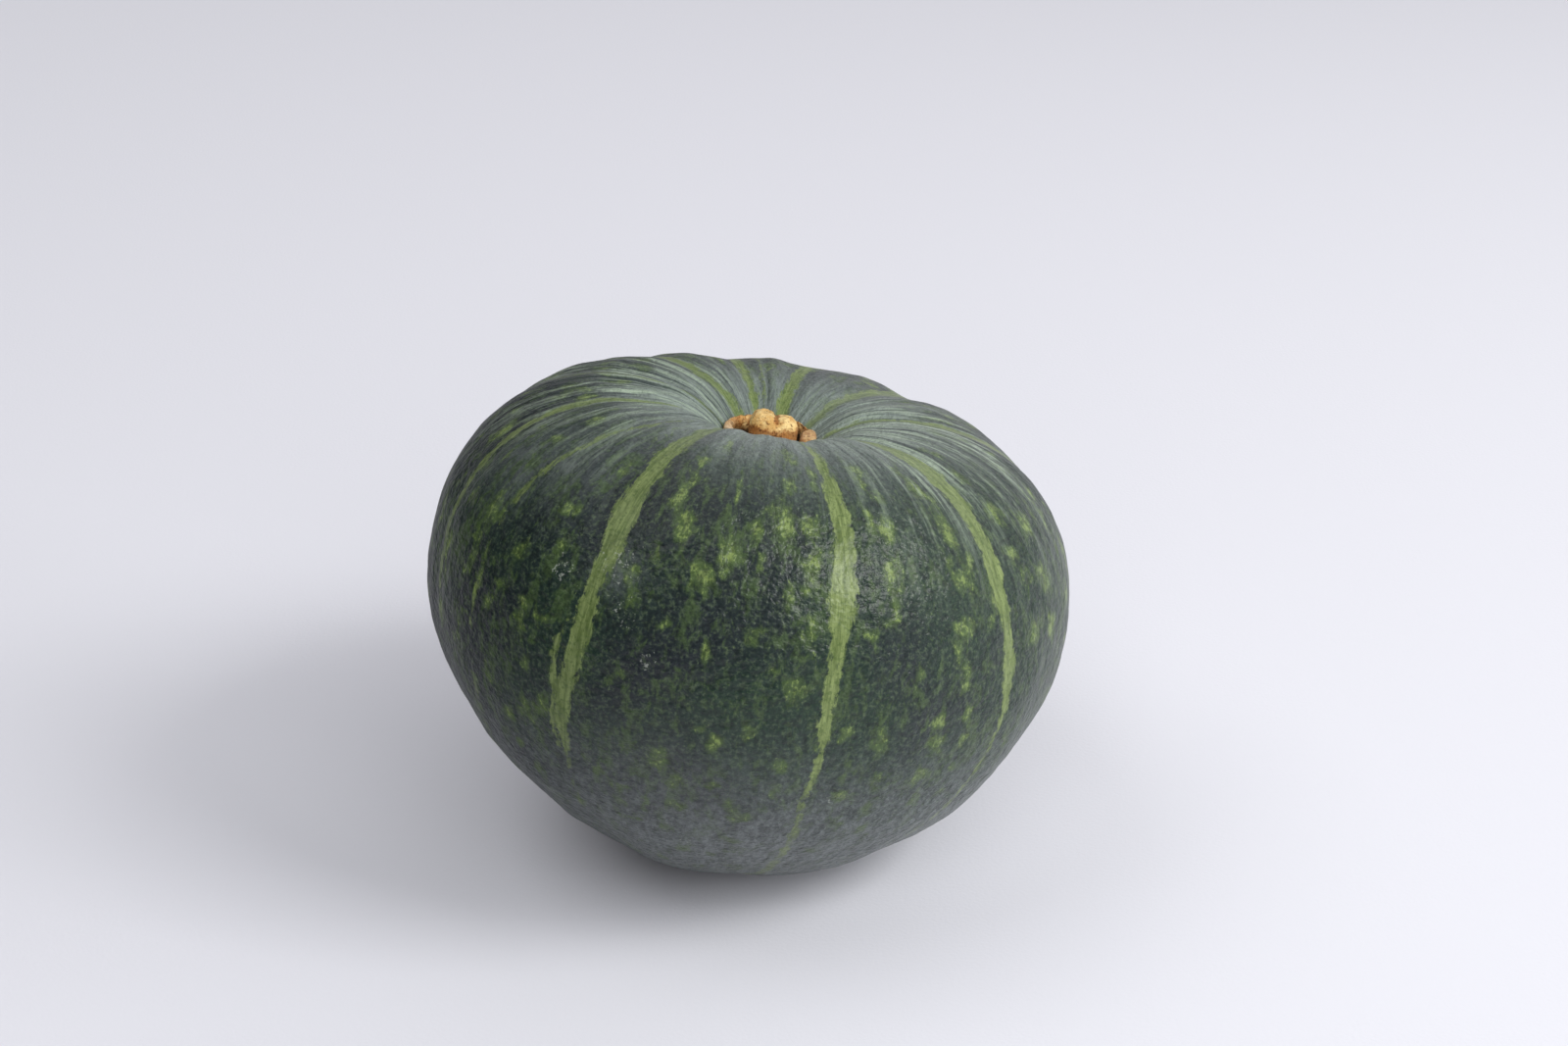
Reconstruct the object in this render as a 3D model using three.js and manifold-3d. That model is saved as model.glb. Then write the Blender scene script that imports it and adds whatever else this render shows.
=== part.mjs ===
// Kabocha squash: one ribbed fruit with a trimmed, corky stem in its stem hollow.
//
// Millimetres, +Z up. The squash stands as a picked one does, leaning a little, on a small
// flat spot, and the origin is the middle of that spot. Directions round the fruit are
// azimuths in degrees about its stem axis: 0 looks to -Y and 90 to +X.
//
// The fruit is worked out in its own frame first, with its centre at the origin and its stem
// axis along +Z, and is then leaned and lifted onto the surface.

import * as THREE from 'three';
import { mergeVertices } from 'three/addons/utils/BufferGeometryUtils.js';
import Module from 'manifold-3d';

// ---------- driving dimensions ----------

// Half section of the fruit, [distance from the stem axis, height], from the floor of the
// stem hollow over the shoulder and the waist to the blossom end.
const HALF_SECTION = [
  [0, 52], [8, 52.5], [13, 57], [18.5, 61.2], [26, 64.5], [37, 65.6], [50, 64],
  [64.5, 57.8], [76, 47.5], [84, 32.5], [86.3, 15], [83, -3.5], [73, -23],
  [57.5, -39.5], [39.5, -51.5], [20, -59.3], [8, -61.1], [0, -61],
];
const ROWS_PER_SPAN = 3;
const COLUMNS = 96;

// How the fruit departs from a body of revolution: millimetres, towards an azimuth.
const TILTED_SHOULDERS = { amount: 2.9, towards: -90 };
const OVAL_WAIST = { amount: 2.5, towards: -27.5 };
const OFF_CENTRE = { amount: 2.8, towards: 138 };
const HIGH_CREST = { amount: 3.1, towards: 6 };
const SADDLED_CREST = { amount: 0.9, towards: 53 };
const CREST_ANGLE = 0.62;
const CREST_SPREAD = 0.35;
const CREST_FADE_IN = 0.25;
const SETTLED_BASE = { amount: 1.6, towards: -54 };
const BASE_ANGLE = 2.85;
const BASE_SPREAD = 0.25;

// Grooves between the ribs: azimuth and how strongly each one is marked.
const GROOVES = [
  { azimuth: -31, strength: 1.0 },
  { azimuth: 14, strength: 0.9 },
  { azimuth: 52, strength: 1.0 },
  { azimuth: 103, strength: 1.0 },
  { azimuth: 140, strength: 1.1 },
  { azimuth: 168, strength: 1.0 },
  { azimuth: 192, strength: 0.9 },
  { azimuth: 218, strength: 1.1 },
  { azimuth: 250, strength: 0.7 },
  { azimuth: 287, strength: 1.0 },
  { azimuth: 309, strength: 0.6 },
];
const GROOVE_HALF_WIDTH = 7;
const GROOVE_AT_SHOULDER = 1.2;
const GROOVE_AT_WAIST = 0.45;
const SHOULDER_ANGLE = 0.5;
const SHOULDER_SPREAD = 0.5;
const END_FADE = 0.3;

// Broad uneven swellings: size in millimetres, waves round the fruit, waves from end to end,
// and the azimuth that each set starts from.
const SWELLINGS = [
  { amount: 0.5, round: 5, along: 2, start: 20 },
  { amount: 0.4, round: 8, along: 3, start: 75 },
  { amount: 0.3, round: 13, along: 5, start: 140 },
];

// Blossom scar: a low corky ring with a dip inside it and a nub in the middle.
const SCAR_RING_RADIUS = 7;
const SCAR_RING_WIDTH = 1.8;
const SCAR_RING_HEIGHT = 0.6;
const SCAR_DIP = 0.9;
const SCAR_DIP_RADIUS = 4.9;
const SCAR_NUB_RADIUS = 1.6;
const SCAR_NUB_HEIGHT = 1.0;
const SCAR_REACH = 1;

// How the fruit stands.
const LEAN_SIDEWAYS = 8.9;
const LEAN_BACKWARDS = 4.2;
const CENTRE_ABOVE_FLOOR = 61.4;
const FLAT_SPOT_OFFSET = [7.3, 4.5];

// Stem: a round plug of cork seated in the floor of the stem hollow, with a two-lobed knob
// in the middle and the broken collar of the old stalk round it.
const SOCKET_RADIUS = 12.7;
const SOCKET_FLOOR = 46;
const SOCKET_DEPTH = 30;
const SEAT_GAP = 0.3;
const PLUG_RADIUS = SOCKET_RADIUS - SEAT_GAP;
const PLUG_BOTTOM = SOCKET_FLOOR + SEAT_GAP;
const MOAT_FLOOR = 53.5;
const PLUG_BEVEL = 0.8;
const ROUND_SEGMENTS = 48;

const KNOB_LOBES = [
  { centre: [-2.0, 0.5, 58.8], size: [3.7, 4.8, 4.8] },
  { centre: [3.1, 0.1, 58.2], size: [4.0, 4.8, 4.8] },
  { centre: [0.8, 0, 57.2], size: [6.1, 5.6, 5.2] },
];
const KNOB_SEGMENTS = [18, 12];
const KNOB_WAVES = 0.22;
const KNOB_WAVE_TURNS = [5, 6, 5];
const KNOB_WAVE_STARTS = [1, 2, 0];

// The collar at some azimuths, in order: the height of its crest and its inner radius. It is
// low in front, cut off at a slant on the left and thin behind, with a thick stub at the right.
const COLLAR = [
  { azimuth: 0, crest: 57.0, inner: 9.8 },
  { azimuth: 48, crest: 57.3, inner: 9.6 },
  { azimuth: 66, crest: 59.3, inner: 8.4 },
  { azimuth: 88, crest: 59.7, inner: 7.9 },
  { azimuth: 108, crest: 59.4, inner: 8.4 },
  { azimuth: 119, crest: 58.8, inner: 11.1 },
  { azimuth: 144, crest: 59.2, inner: 11.0 },
  { azimuth: 180, crest: 59.0, inner: 10.5 },
  { azimuth: 230, crest: 58.9, inner: 10.3 },
  { azimuth: 262, crest: 58.8, inner: 9.7 },
  { azimuth: 290, crest: 58.5, inner: 9.0 },
  { azimuth: 312, crest: 57.8, inner: 9.2 },
  { azimuth: 360, crest: 57.0, inner: 9.8 },
];
const COLLAR_RADIUS = 12.2;
const COLLAR_COLUMNS = 72;
const COLLAR_ROOT = 51.5;
const COLLAR_WAVES = 0.2;
const COLLAR_WAVE_COUNT = 9;

// The top of the collar's wall, by points: in from the face of the wall, down from the crest.
const COLLAR_INNER_EDGE = [[0.1, 1.4], [0.5, 0.6]];
const COLLAR_OUTER_EDGE = [[0.8, 0], [0.2, 0.3], [0, 1.0]];

// ---------- small helpers ----------

const radians = THREE.MathUtils.degToRad;

function bell(offset, halfWidth) {
  return Math.exp(-((offset / halfWidth) ** 2));
}

function angleBetween(a, b) {
  return THREE.MathUtils.euclideanModulo(a - b + 180, 360) - 180;
}

function waveTowards(azimuth, lobe, waves = 1) {
  return lobe.amount * Math.cos(waves * radians(azimuth - lobe.towards));
}

function direction(polar, azimuth) {
  const turn = radians(azimuth);
  return new THREE.Vector3(
    Math.sin(polar) * Math.sin(turn),
    -Math.sin(polar) * Math.cos(turn),
    Math.cos(polar),
  );
}

// ---------- the skin of the fruit, as distances from its centre ----------
// polar is the angle from the stem axis in radians, 0 at the stem and PI at the blossom end.

function unevenness(polar, azimuth) {
  const across = Math.sin(polar);
  const crest = bell(polar - CREST_ANGLE, CREST_SPREAD) * Math.min(1, polar / CREST_FADE_IN);
  const base = bell(polar - BASE_ANGLE, BASE_SPREAD) * Math.min(1, across / END_FADE);
  return across * Math.cos(polar) * waveTowards(azimuth, TILTED_SHOULDERS)
    + across ** 2 * waveTowards(azimuth, OVAL_WAIST, 2)
    + across * waveTowards(azimuth, OFF_CENTRE)
    + crest * (waveTowards(azimuth, HIGH_CREST) + waveTowards(azimuth, SADDLED_CREST, 2))
    + base * waveTowards(azimuth, SETTLED_BASE);
}

function grooveDepth(polar, azimuth) {
  const shoulder = bell(polar - SHOULDER_ANGLE, SHOULDER_SPREAD);
  const depth = GROOVE_AT_WAIST + (GROOVE_AT_SHOULDER - GROOVE_AT_WAIST) * shoulder;
  const fade = Math.min(1, Math.sin(polar) / END_FADE);
  let share = 0;
  for (const groove of GROOVES) {
    share += groove.strength * bell(angleBetween(azimuth, groove.azimuth), GROOVE_HALF_WIDTH);
  }
  return depth * fade * share;
}

function swelling(polar, azimuth) {
  let sum = 0;
  for (const wave of SWELLINGS) {
    const round = Math.cos(wave.round * radians(azimuth - wave.start));
    sum += wave.amount * round * Math.sin(wave.along * polar);
  }
  return sum * Math.sin(polar);
}

function blossomScar(polar, radius) {
  const fromPole = Math.PI - polar;
  if (fromPole > SCAR_REACH) {
    return 0;
  }
  const away = radius * Math.sin(fromPole);
  return SCAR_RING_HEIGHT * bell(away - SCAR_RING_RADIUS, SCAR_RING_WIDTH)
    - SCAR_DIP * bell(away, SCAR_DIP_RADIUS)
    + SCAR_NUB_HEIGHT * bell(away, SCAR_NUB_RADIUS);
}

function skinPoint(section, azimuth) {
  const polar = Math.atan2(section.x, section.y);
  const plain = section.length();
  const radius = plain
    + unevenness(polar, azimuth)
    - grooveDepth(polar, azimuth)
    + swelling(polar, azimuth)
    + blossomScar(polar, plain);
  return direction(polar, azimuth).multiplyScalar(radius);
}

// Closed grid: one point at each pole and a ring of COLUMNS points on every row between.
function skinGeometry() {
  const curve = new THREE.SplineCurve(HALF_SECTION.map(([x, y]) => new THREE.Vector2(x, y)));
  const rows = curve.getPoints((HALF_SECTION.length - 1) * ROWS_PER_SPAN);
  const positions = [];
  const triangles = [];
  const addPoint = (point) => positions.push(point.x, point.y, point.z);

  addPoint(skinPoint(rows[0], 0));
  for (const section of rows.slice(1, -1)) {
    for (let column = 0; column < COLUMNS; column += 1) {
      addPoint(skinPoint(section, (column * 360) / COLUMNS));
    }
  }
  addPoint(skinPoint(rows[rows.length - 1], 0));

  const ringCount = rows.length - 2;
  const last = ringCount * COLUMNS + 1;
  const ringPoint = (ring, column) => 1 + ring * COLUMNS + (column % COLUMNS);
  for (let column = 0; column < COLUMNS; column += 1) {
    triangles.push(0, ringPoint(0, column), ringPoint(0, column + 1));
    for (let ring = 0; ring < ringCount - 1; ring += 1) {
      const a = ringPoint(ring, column);
      const b = ringPoint(ring + 1, column);
      const c = ringPoint(ring + 1, column + 1);
      const d = ringPoint(ring, column + 1);
      triangles.push(a, b, c, a, c, d);
    }
    triangles.push(ringPoint(ringCount - 1, column), last, ringPoint(ringCount - 1, column + 1));
  }

  const geometry = new THREE.BufferGeometry();
  geometry.setAttribute('position', new THREE.Float32BufferAttribute(positions, 3));
  geometry.setIndex(triangles);
  return geometry;
}

// ---------- joining and cutting ----------

const wasm = await Module();
wasm.setup();

function toSolid(geometry) {
  const bare = geometry.clone();
  bare.deleteAttribute('normal');
  bare.deleteAttribute('uv');
  const welded = mergeVertices(bare, 1e-4);
  return new wasm.Manifold(new wasm.Mesh({
    numProp: 3,
    vertProperties: new Float32Array(welded.attributes.position.array),
    triVerts: new Uint32Array(welded.index.array),
  }));
}

function toGeometry(solid) {
  const mesh = solid.getMesh();
  const geometry = new THREE.BufferGeometry();
  geometry.setAttribute('position', new THREE.BufferAttribute(mesh.vertProperties, 3));
  geometry.setIndex(new THREE.BufferAttribute(mesh.triVerts, 1));
  geometry.computeVertexNormals();
  return geometry;
}

// Lean the fruit and lift it so that its flat spot comes to the origin.
const standing = new THREE.Matrix4()
  .makeRotationFromEuler(
    new THREE.Euler(radians(-LEAN_BACKWARDS), radians(LEAN_SIDEWAYS), 0, 'YXZ'),
  )
  .setPosition(-FLAT_SPOT_OFFSET[0], -FLAT_SPOT_OFFSET[1], CENTRE_ABOVE_FLOOR);

// ---------- squash_body ----------

function squashBody() {
  const socket = new THREE.CylinderGeometry(
    SOCKET_RADIUS, SOCKET_RADIUS, SOCKET_DEPTH, ROUND_SEGMENTS,
  );
  socket.rotateX(Math.PI / 2);
  socket.translate(0, 0, SOCKET_FLOOR + SOCKET_DEPTH / 2);

  const slabSize = 400;
  const belowFloor = new THREE.BoxGeometry(slabSize, slabSize, slabSize);
  belowFloor.translate(0, 0, -slabSize / 2);

  const fruit = skinGeometry().applyMatrix4(standing);
  socket.applyMatrix4(standing);
  return toGeometry(toSolid(fruit).subtract(toSolid(socket)).subtract(toSolid(belowFloor)));
}

// ---------- stem ----------

function corkPlug() {
  const outline = [
    [0, PLUG_BOTTOM],
    [PLUG_RADIUS - PLUG_BEVEL, PLUG_BOTTOM],
    [PLUG_RADIUS, PLUG_BOTTOM + PLUG_BEVEL],
    [PLUG_RADIUS, MOAT_FLOOR],
    [0, MOAT_FLOOR],
  ].map(([x, y]) => new THREE.Vector2(x, y));
  return new THREE.LatheGeometry(outline, ROUND_SEGMENTS).rotateX(Math.PI / 2);
}

// A ball pulled to the given half sizes, with shallow waves over it.
function corkLobe({ centre, size }) {
  const ball = new THREE.SphereGeometry(1, ...KNOB_SEGMENTS);
  const places = ball.attributes.position;
  const point = new THREE.Vector3();
  for (let i = 0; i < places.count; i += 1) {
    point.fromBufferAttribute(places, i);
    const [a, b, c] = point.toArray().map((along, axis) => (
      KNOB_WAVE_TURNS[axis] * along + KNOB_WAVE_STARTS[axis]
    ));
    const wave = Math.sin(a) * Math.sin(b) * Math.cos(c);
    point.multiply(new THREE.Vector3(...size));
    point.addScaledVector(point.clone().normalize(), KNOB_WAVES * wave);
    places.setXYZ(i, point.x + centre[0], point.y + centre[1], point.z + centre[2]);
  }
  return ball;
}

function collarAt(azimuth) {
  const next = COLLAR.findIndex((stop) => stop.azimuth > azimuth);
  const [start, end] = [COLLAR[next - 1], COLLAR[next]];
  const share = (azimuth - start.azimuth) / (end.azimuth - start.azimuth);
  const eased = THREE.MathUtils.smoothstep(share, 0, 1);
  return {
    crest: THREE.MathUtils.lerp(start.crest, end.crest, eased),
    inner: THREE.MathUtils.lerp(start.inner, end.inner, eased),
  };
}

// A closed wall along the plug's rim; its top slants down towards the knob.
function collar() {
  const positions = [];
  const triangles = [];
  let sectionSize = 0;
  for (let column = 0; column < COLLAR_COLUMNS; column += 1) {
    const azimuth = (column * 360) / COLLAR_COLUMNS;
    const { crest, inner } = collarAt(azimuth);
    const top = crest + COLLAR_WAVES * Math.sin(radians(azimuth) * COLLAR_WAVE_COUNT);
    const section = [
      [inner, COLLAR_ROOT],
      ...COLLAR_INNER_EDGE.map(([across, drop]) => [inner + across, top - drop]),
      ...COLLAR_OUTER_EDGE.map(([across, drop]) => [COLLAR_RADIUS - across, top - drop]),
      [COLLAR_RADIUS, COLLAR_ROOT],
    ];
    sectionSize = section.length;
    for (const [away, height] of section) {
      const point = direction(Math.PI / 2, azimuth).multiplyScalar(away);
      positions.push(point.x, point.y, height);
    }
  }
  for (let column = 0; column < COLLAR_COLUMNS; column += 1) {
    const here = column * sectionSize;
    const beside = ((column + 1) % COLLAR_COLUMNS) * sectionSize;
    for (let step = 0; step < sectionSize; step += 1) {
      const after = (step + 1) % sectionSize;
      triangles.push(here + step, beside + after, beside + step);
      triangles.push(here + step, here + after, beside + after);
    }
  }
  const geometry = new THREE.BufferGeometry();
  geometry.setAttribute('position', new THREE.Float32BufferAttribute(positions, 3));
  geometry.setIndex(triangles);
  return geometry;
}

function stem() {
  let solid = toSolid(corkPlug()).add(toSolid(collar()));
  for (const lobe of KNOB_LOBES) {
    solid = solid.add(toSolid(corkLobe(lobe)));
  }
  return toGeometry(solid).applyMatrix4(standing);
}

// ---------- the squash ----------

const skinMaterial = new THREE.MeshStandardMaterial({
  color: 0x3b4d33, roughness: 0.5, metalness: 0,
});
const corkMaterial = new THREE.MeshStandardMaterial({
  color: 0xc29a5e, roughness: 0.85, metalness: 0,
});

const squash = new THREE.Group();

const bodyMesh = new THREE.Mesh(squashBody(), skinMaterial);
bodyMesh.name = 'squash_body';
squash.add(bodyMesh);

const stemMesh = new THREE.Mesh(stem(), corkMaterial);
stemMesh.name = 'stem';
squash.add(stemMesh);

export default squash;
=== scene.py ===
"""A kabocha squash standing on a pale cloth.

The fruit and its stem are made again here from the driving values of the solids, with finer
relief, and carry procedural skin and cork. Shapes are worked out in millimetres in the fruit's
own frame, its centre at the origin and its stem axis along +Z, and are then stood up in the row
frame. Azimuths go round the stem axis in degrees, 0 towards -Y and 90 towards +X. Polar angles
are in radians from the stem axis.
"""

import math
import random

import bpy
import numpy as np
from mathutils import Euler, Matrix, Vector, noise


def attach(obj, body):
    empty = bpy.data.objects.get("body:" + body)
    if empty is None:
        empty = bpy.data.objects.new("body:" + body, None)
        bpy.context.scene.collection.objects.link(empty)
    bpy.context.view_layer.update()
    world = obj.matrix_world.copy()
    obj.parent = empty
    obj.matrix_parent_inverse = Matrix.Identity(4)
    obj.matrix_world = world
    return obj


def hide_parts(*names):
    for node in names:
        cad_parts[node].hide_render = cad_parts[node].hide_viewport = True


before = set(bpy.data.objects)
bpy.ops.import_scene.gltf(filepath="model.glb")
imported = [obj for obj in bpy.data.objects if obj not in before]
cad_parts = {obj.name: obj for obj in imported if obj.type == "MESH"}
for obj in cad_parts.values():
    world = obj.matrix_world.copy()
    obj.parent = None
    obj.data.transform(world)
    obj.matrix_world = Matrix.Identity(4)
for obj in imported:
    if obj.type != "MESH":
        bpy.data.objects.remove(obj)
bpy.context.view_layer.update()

MM = 0.001

# ---------- driving values of the solids, in millimetres ----------

HALF_SECTION = [
    (0, 52), (8, 52.5), (13, 57), (18.5, 61.2), (26, 64.5), (37, 65.6), (50, 64),
    (64.5, 57.8), (76, 47.5), (84, 32.5), (86.3, 15), (83, -3.5), (73, -23),
    (57.5, -39.5), (39.5, -51.5), (20, -59.3), (8, -61.1), (0, -61),
]

TILTED_SHOULDERS = (2.9, -90)
OVAL_WAIST = (2.5, -27.5)
OFF_CENTRE = (2.8, 138)
HIGH_CREST = (3.1, 6)
SADDLED_CREST = (0.9, 53)
SETTLED_BASE = (1.6, -54)
CREST_ANGLE, CREST_SPREAD, CREST_FADE_IN = 0.62, 0.35, 0.25
BASE_ANGLE, BASE_SPREAD = 2.85, 0.25

GROOVES = [
    (-31, 1.0), (14, 0.9), (52, 1.0), (103, 1.0), (140, 1.1), (168, 1.0),
    (192, 0.9), (218, 1.1), (250, 0.7), (287, 1.0), (309, 0.6),
]
GROOVE_HALF_WIDTH = 7
GROOVE_AT_SHOULDER, GROOVE_AT_WAIST = 1.2, 0.45
SHOULDER_ANGLE, SHOULDER_SPREAD = 0.5, 0.5
END_FADE = 0.3

SWELLINGS = [(0.5, 5, 2, 20), (0.4, 8, 3, 75), (0.3, 13, 5, 140)]

SCAR_RING_RADIUS, SCAR_RING_WIDTH, SCAR_RING_HEIGHT = 7, 1.8, 0.6
SCAR_DIP, SCAR_DIP_RADIUS = 0.9, 4.9
SCAR_NUB_RADIUS, SCAR_NUB_HEIGHT = 1.6, 1.0

LEAN_SIDEWAYS, LEAN_BACKWARDS = 8.9, 4.2
FRUIT_CENTRE = Vector((-7.3, -4.5, 61.4))

SOCKET_FLOOR = 46
PLUG_RADIUS, PLUG_BOTTOM = 12.4, 46.3
MOAT_FLOOR = 53.5
KNOB_LOBES = [
    ((-2.0, 0.5, 58.8), (3.7, 4.8, 4.8)),
    ((3.1, 0.1, 58.2), (4.0, 4.8, 4.8)),
    ((0.8, 0, 57.2), (6.1, 5.6, 5.2)),
]
# azimuth, height of the crest, inner radius
COLLAR = [
    (0, 57.0, 9.8), (48, 57.3, 9.6), (66, 59.3, 8.4), (88, 59.7, 7.9), (108, 59.4, 8.4),
    (119, 58.8, 11.1), (144, 59.2, 11.0), (180, 59.0, 10.5), (230, 58.9, 10.3),
    (262, 58.8, 9.7), (290, 58.5, 9.0), (312, 57.8, 9.2), (360, 57.0, 9.8),
]
COLLAR_RADIUS, COLLAR_ROOT = 12.2, 51.5

# ---------- driving values of the finer surface ----------

SKIN_COLUMNS, SKIN_ROWS, RIM_RADIUS = 480, 200, 12
# The socket's wall: each ring's share of the rim, and how far the first is below the rim.
WALL_SHARES, SOCKET_LIP = (0.99, 0.98), 1.2

# The skin's grain is read on a cylinder of this radius.
GRAIN_RADIUS = 80
MEAN_RADIUS = 85

# Pleats: the noise's scale round the stem and along the fold, and its seed.
BROAD_PLEATS, FINE_PLEATS, FINE_PLEAT_SHARE = (7, 1.2, 11), (16, 1.5, 12), 0.5
PLEAT_DEPTH, PLEAT_REACH = 0.75, 0.75
# Lumps: size, height and seed.
LUMPS = [(16, 0.3, 3), (8, 0.2, 5), (4.2, 0.14, 8)]
WRINKLE_LENGTH, WRINKLE_HEIGHT, WRINKLE_DEPTH = 9, 2.2, 0.08
WRINKLES_FROM, WRINKLES_TO, WRINKLE_SEED = 1.1, 1.6, 21

# Pale stripes: a track of (polar angle, azimuth, half width in mm) and a paleness.
STRIPES = [
    ([(0.2, -30, 1.2), (0.5, -29, 1.9), (0.6, -29.3, 2.4), (0.72, -30.5, 2.9), (0.8, -29.6, 2.7),
      (0.95, -29.6, 3.3), (1.05, -28.9, 2.6), (1.17, -29.3, 2.2), (1.3, -29.2, 2.8),
      (1.4, -30, 2.5), (1.5, -30.6, 2), (1.6, -30.7, 1.3), (1.7, -30.4, 0.8),
      (1.78, -30.6, -0.1), (1.85, -31, 0.3), (2.1, -31, -0.6)], 0.85),
    ([(1.27, -32.4, -0.2), (1.33, -33.1, 1), (1.41, -33.3, 1), (1.48, -32.4, 0.8),
      (1.55, -33, 1.1), (1.62, -32.6, 0.9), (1.67, -32.4, -0.3)], 0.8),
    ([(0.2, 12.5, 0.4), (0.5, 13.3, 0.8), (0.6, 14, 1.3), (0.7, 14.6, 1.9), (0.8, 15.3, 2.3),
      (0.9, 15.4, 2.4), (1.05, 14.5, 3.6), (1.13, 14.4, 3), (1.2, 13.9, 1.7),
      (1.3, 13.6, 1.9), (1.42, 13.4, 1.7), (1.5, 13.9, 0.9), (1.6, 13.9, 1),
      (1.7, 13.2, 0.9), (1.85, 14.3, 0.8), (2.1, 15.5, 0.9), (2.3, 16.5, 1),
      (2.8, 17, 0.4)], 1),
    ([(0.2, 47, 1.2), (0.5, 49.8, 3), (0.62, 51, 3.7), (0.72, 51.7, 3.5), (0.8, 52, 3.3),
      (0.9, 51.8, 2.6), (1, 52.1, 3.5), (1.1, 51.4, 3.1), (1.18, 52.2, 2.2),
      (1.3, 52.6, 2.8), (1.4, 52.6, 1.7), (1.48, 52.4, 0.8), (1.66, 52, 0.4),
      (1.8, 51, 0.8), (2, 49, 0.7), (2.3, 48, 0.2), (2.6, 47, -0.5)], 0.95),
    ([(0.2, 100, 0.9), (0.5, 100, 2.4), (0.8, 101, 3.1), (1.2, 102, 2.6), (1.5, 102, 1.4),
      (1.9, 102, -0.4)], 0.9),
    ([(0.25, 135, 1.2), (0.4, 138.6, 1.8), (0.6, 140, 2.6), (1, 141, 3.3), (1.4, 140, 2.2),
      (1.7, 140, 0.8), (2.1, 140, -0.5)], 0.75),
    ([(0.25, 169, 1.8), (0.45, 169, 1.6), (0.8, 168.5, 2.6), (1.1, 168, 3.4), (1.4, 168, 2.4),
      (1.7, 167, 1), (2.4, 168, -0.3)], 1),
    ([(0.25, 185.3, 0.2), (0.6, 184.6, 0.4), (0.9, 184, 0.2), (1.2, 184, -0.5)], 0.8),
    ([(0.25, 193.8, 1), (0.45, 192.5, 1.4), (0.8, 191, 1.9), (1.2, 191.5, 2.3),
      (1.5, 191, 1.2), (1.9, 191, -0.3)], 0.95),
    ([(0.25, 215, 1.6), (0.4, 219.6, 2.2), (0.7, 217, 2.7), (1.1, 218, 3.3), (1.4, 218, 2),
      (1.8, 218, 0.5), (2.2, 218, -0.4)], 0.9),
    ([(0.25, 250, 0.3), (0.4, 256, 0.6), (0.8, 256, 0.9), (1.2, 256, 1.2), (1.5, 255, 0.6),
      (1.8, 255, -0.4)], 0.75),
    ([(0.25, 284, 0.4), (0.42, 288, 1.1), (0.65, 284, 1.9), (1, 286, 1.6), (1.3, 290, 1),
      (1.7, 290, -0.3)], 0.85),
    ([(0.45, 316, 0.2), (0.6, 315.5, 0.7), (0.7, 311, 0.6), (0.85, 308.4, 0.9),
      (0.95, 306.5, 1), (1.1, 306.2, 0.1), (1.2, 306, -0.2), (1.35, 306, 0.7),
      (1.48, 305.5, -0.2), (1.62, 306, 0.5), (1.8, 306, -0.6)], 0.7),
]

# A stripe begins this far above its track, and pales on its way down.
STRIPE_LEAD = 0.1
STRIPE_FADE, STRIPE_FADE_FROM, STRIPE_FADE_TO = 0.3, 1.45, 1.9
SCALLOP_SIZE, SCALLOP_DEPTH, SCALLOP_SEED = 3.4, 0.9, 36
# Distances to a stripe's edge are cut off here, in mm.
EDGE_LIMIT = 12
FAR_OUTSIDE = -99.0

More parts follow.
